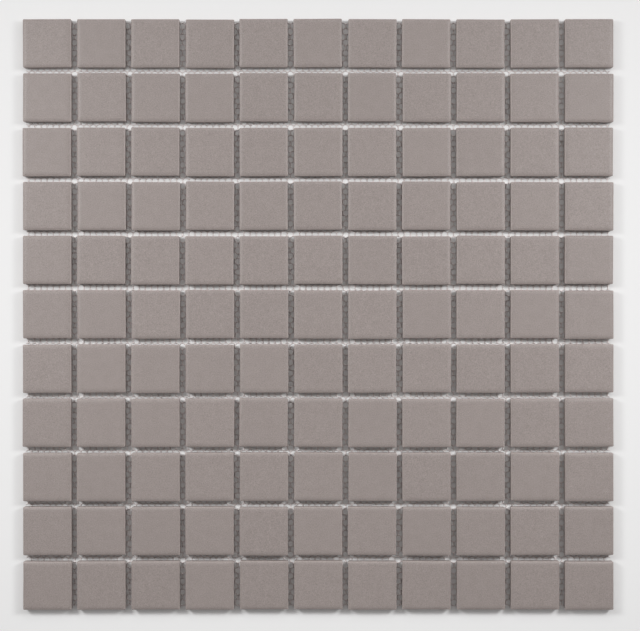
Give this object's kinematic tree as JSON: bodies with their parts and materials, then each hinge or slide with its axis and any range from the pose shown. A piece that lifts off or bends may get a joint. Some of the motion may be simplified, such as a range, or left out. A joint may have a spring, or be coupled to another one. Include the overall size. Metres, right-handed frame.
{
  "type": "mosaic tile sheet",
  "caption": "Square mosaic sheet: small unglazed grey-brown ceramic tiles with eased edges, set in a grid with open joints and held by a net glued to their backs.",
  "frame": {"origin": "middle of the backing net's underside", "axes": "+Z out of the tile faces, +Y towards tile row 1, +X along a row"},
  "size_m": [0.2978, 0.2978, 0.0054],
  "materials": {
    "tile": "unglazed, matt, with a fine salt-and-pepper speckle",
    "net": "off-white knitted net stiffened with glue"
  },
  "bodies": {
    "root": {"backing_net": "net", "tile_row_01": "tile", "tile_row_02": "tile", "tile_row_03": "tile", "tile_row_04": "tile", "tile_row_05": "tile", "tile_row_06": "tile", "tile_row_07": "tile", "tile_row_08": "tile", "tile_row_09": "tile", "tile_row_10": "tile", "tile_row_11": "tile"}
  },
  "joints": []
}
